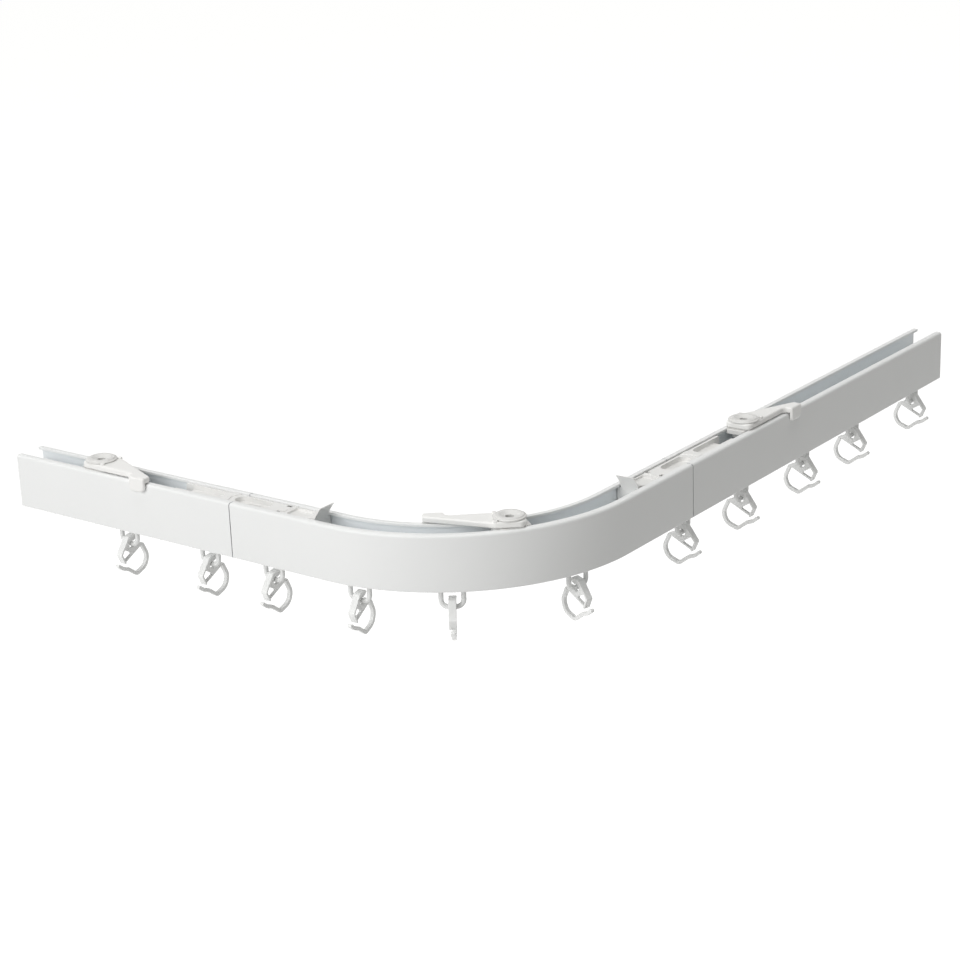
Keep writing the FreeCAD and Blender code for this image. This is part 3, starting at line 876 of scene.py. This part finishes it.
for side, turn in (("left", 0.0), ("corner", math.pi - clip_swing()), ("right", 0.0)):
    fitting = side + "_ceiling_fitting"
    lever = side + "_locking_lever"
    place = middle_distance(fitting)
    hang_moulding("moulded_" + fitting, fitting_pattern, place, 0.0,
                  fitting_white, "track", fitting)
    hang_moulding("moulded_" + lever, lever_pattern, place, turn,
                  lever_white, side + "_lever", lever)
bpy.data.objects.remove(fitting_pattern)
bpy.data.objects.remove(lever_pattern)


# Connectors: bars across the joints, hung on the undersides of the lips and filling their slot.
# From the tip of its springy fin each has a recess, a slanted rib, two notches, two ovals and a fork.
connector_length = 94.5
connector_corner_radius = 0.5
connector_wall = 1.8
connector_low = upper_floor / millimetre + 0.2
flange_width = channel_width - 0.6
flange_top = lip_underside - 0.2
flange_thickness = 2.2
bar_width = slot_width - 1.0
bar_high = -0.7
bar_inset = 0.1
bar_corner_radius = 0.4
fin_height = 5.8
fin_thickness = 0.9
fin_lean = 5.2
fin_foot = 6.5
fin_front_bow = 0.62
fin_back_bow = 0.71
fin_back_bow_height = 0.22
fin_root = bar_high - 2.5
rib_high = bar_high + 0.35
rib_half = bar_width / 2 - 0.1
rib_corner_radius = 0.5
slanted_rib_start = 22.8
slanted_rib_width = 1.8
slanted_rib_slant = 2.4
waisted_rib_start = 59.0
waisted_rib_length = 6.0
waisted_rib_waist = 2.0
waist_radius = 1.0
recess_start = 11.5
recess_size = (11.1, bar_width - 2.0)
recess_corner_radius = 0.8
recess_floor = bar_high - 1.2
notch_start = 25.7
notch_size = (3.0, 4.2)
notch_floor = bar_high - 3.0
notch_corner_radius = 0.4
pockets = [(35.7, 22.0), (66.4, 26.2)]
pocket_width = 7.4
pocket_end_radius = pocket_width * 0.48
pocket_floor = bar_high - 2.5
slit_start = 41.7
slit_size = (10.0, 2.2)
slit_corner_radius = 0.4
slit_middle = -0.8
fork_start = 89.5
fork_length = 10.0
fork_corner_radius = 0.6
cut_low = connector_low - 1.0
cut_high = 3.0


def bow(start, middle, end, steps=12):
    """Points of a bowed line that passes through its middle."""
    start, middle, end = Vector(start), Vector(middle), Vector(end)
    pull = middle * 2 - (start + end) / 2
    points = []
    for step in range(steps + 1):
        share = step / steps
        points.append(start * (1 - share) ** 2 + pull * 2 * share * (1 - share) + end * share ** 2)
    return points


fin_back_end = fin_lean + fin_foot
fin_side = bow(
    (fin_lean, fin_root), (fin_lean * fin_front_bow, (fin_height + fin_root) / 2), (0, fin_height))
fin_side += bow(
    (fin_thickness, fin_height),
    (fin_lean * fin_back_bow + fin_thickness, fin_height * fin_back_bow_height),
    (fin_back_end, bar_high + 0.05))
fin_side.append(Vector((fin_back_end, fin_root)))
slanted_rib_end = slanted_rib_start + slanted_rib_width
slanted_rib = rounded([
    (slanted_rib_start, -rib_half, rib_corner_radius), (slanted_rib_end, -rib_half, rib_corner_radius),
    (slanted_rib_end + slanted_rib_slant, rib_half, rib_corner_radius),
    (slanted_rib_start + slanted_rib_slant, rib_half, rib_corner_radius)])
waisted_rib_end = waisted_rib_start + waisted_rib_length
waisted_rib = rounded([
    (waisted_rib_start, -rib_half, rib_corner_radius), (waisted_rib_end, -rib_half, rib_corner_radius),
    (waisted_rib_end - waisted_rib_waist, 0, waist_radius),
    (waisted_rib_end, rib_half, rib_corner_radius), (waisted_rib_start, rib_half, rib_corner_radius),
    (waisted_rib_start + waisted_rib_waist, 0, waist_radius)])
body_length = connector_length - fin_lean
flange_plan = block_plan(body_length, flange_width, connector_corner_radius, start=fin_lean)
bar_plan = block_plan(
    body_length - 2 * bar_inset, bar_width, bar_corner_radius, start=fin_lean + bar_inset)
connector_solids = [
    plate("flange", [flange_plan], connector_low, flange_top),
    plate("bar", [bar_plan], flange_top - sunk, bar_high, rim=0.25),
    upright(plate("fin", [fin_side], -rib_half, rib_half, rim=0.15)),
    plate("slanted_rib", [slanted_rib], bar_high - sunk, rib_high),
    plate("waisted_rib", [waisted_rib], bar_high - sunk, rib_high)]
hollow_plan = block_plan(
    connector_length - fin_foot - fin_back_end, flange_width - 2 * connector_wall,
    connector_corner_radius, start=fin_back_end)
recess_plan = block_plan(recess_size[0], recess_size[1], recess_corner_radius, start=recess_start)
slit_plan = block_plan(
    slit_size[0], slit_size[1], slit_corner_radius, start=slit_start, middle=slit_middle)
fork_plan = block_plan(fork_length, pocket_width, fork_corner_radius, start=fork_start)
connector_cuts = [
    plate("hollow", [hollow_plan], cut_low, flange_top - flange_thickness),
    plate("front_recess", [recess_plan], recess_floor, cut_high, rim=0.5),
    plate("slit", [slit_plan], cut_low, cut_high, rim=0.1),
    plate("fork", [fork_plan], cut_low, cut_high, rim=0.1)]
for start, length in pockets:
    oval = block_plan(length, pocket_width, pocket_end_radius, start=start)
    connector_cuts.append(plate("oval", [oval], pocket_floor, cut_high, rim=0.5))
for side in (-1, 1):
    notch = block_plan(
        notch_size[0], notch_size[1], notch_corner_radius,
        start=notch_start, middle=side * bar_width / 2)
    connector_cuts.append(plate("notch", [notch], notch_floor, cut_high, rim=0.2))
connector_pattern = one_moulding("connector_pattern", connector_solids, connector_cuts)
left_fin_tip = run_distance(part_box("left_connector")[1][0], left_line)
right_fin_tip = run_distance(right_line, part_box("right_connector")[0][1])
for side, place, turn in (("left", left_fin_tip, math.pi), ("right", right_fin_tip, 0.0)):
    connector = side + "_connector"
    hang_moulding("moulded_" + connector, connector_pattern, place, turn,
                  moulded_white, "track", connector)
bpy.data.objects.remove(connector_pattern)


# Room: white surroundings, a wide soft lamp on the room's side of the left arm, a round one
# overhead and a pale floor below the track. What the camera sees behind the object is white.
ambient_strength = 0.28
ambient_colour = (1.0, 0.996, 0.96, 1.0)
white = (1.0, 1.0, 1.0, 1.0)
floor_drop = 0.45
floor_half = 6.0
floor_glow = 0.75


def light_paths(graph):
    """The outputs of a Light Path node, by name."""
    return {path.socket.name: path for path in graph.outputs("ShaderNodeLightPath", {})}


world = bpy.data.worlds.new("studio")
bpy.context.scene.world = world
world.use_nodes = True
air = Graph(world.node_tree)
surroundings = world.node_tree.nodes["Background"]
paths = light_paths(air)
seen = paths["Is Camera Ray"].math("MAXIMUM", paths["Is Glossy Ray"])
seen = seen.math("MAXIMUM", paths["Is Transmission Ray"])
air.connect(seen * (1.0 - ambient_strength) + ambient_strength, surroundings, "Strength")
air.connect(air.node(
    "ShaderNodeMix", {"data_type": "RGBA"}, {0: seen, 6: ambient_colour, 7: white}, 2),
    surroundings, "Color")

lamp_data = bpy.data.lights.new("soft_box", "AREA")
lamp_data.shape = "RECTANGLE"
lamp_data.size = 1.4
lamp_data.size_y = 1.2
lamp_data.energy = 23.5
lamp = linked("soft_box", lamp_data)
lamp_place = Vector((-0.3, -1.75, 0.8))
lamp_target = Vector((-0.1, 0.0, 0.0))
lamp_aim = (lamp_place - lamp_target).to_track_quat("Z", "Y")
lamp.matrix_world = Matrix.Translation(lamp_place) @ lamp_aim.to_matrix().to_4x4()

top_data = bpy.data.lights.new("top_light", "AREA")
top_data.shape = "DISK"
top_data.size = 1.4
top_data.energy = 12.0
top_light = linked("top_light", top_data)
top_light.location = (-0.05, 0.1, 1.6)

floor_mesh = bpy.data.meshes.new("floor")
floor_level = cad_box[0][2] - floor_drop
floor_mesh.from_pydata([
    (-floor_half, -floor_half, floor_level), (floor_half, -floor_half, floor_level),
    (floor_half, floor_half, floor_level), (-floor_half, floor_half, floor_level)], [], [(0, 1, 2, 3)])
floor = linked("floor", floor_mesh)
floor_paint, floor_graph, floor_shader = coat("floor_paint", (0.86, 0.86, 0.86), 0.9)
floor_shader.inputs["Specular IOR Level"].default_value = 0.0
floor_paths = light_paths(floor_graph)
floor_seen = floor_paths["Is Camera Ray"].math("MAXIMUM", floor_paths["Is Glossy Ray"])
floor_graph.connect(floor_seen * floor_glow, floor_shader, "Emission Color")
floor_shader.inputs["Emission Strength"].default_value = 1.0
floor_mesh.materials.append(floor_paint)
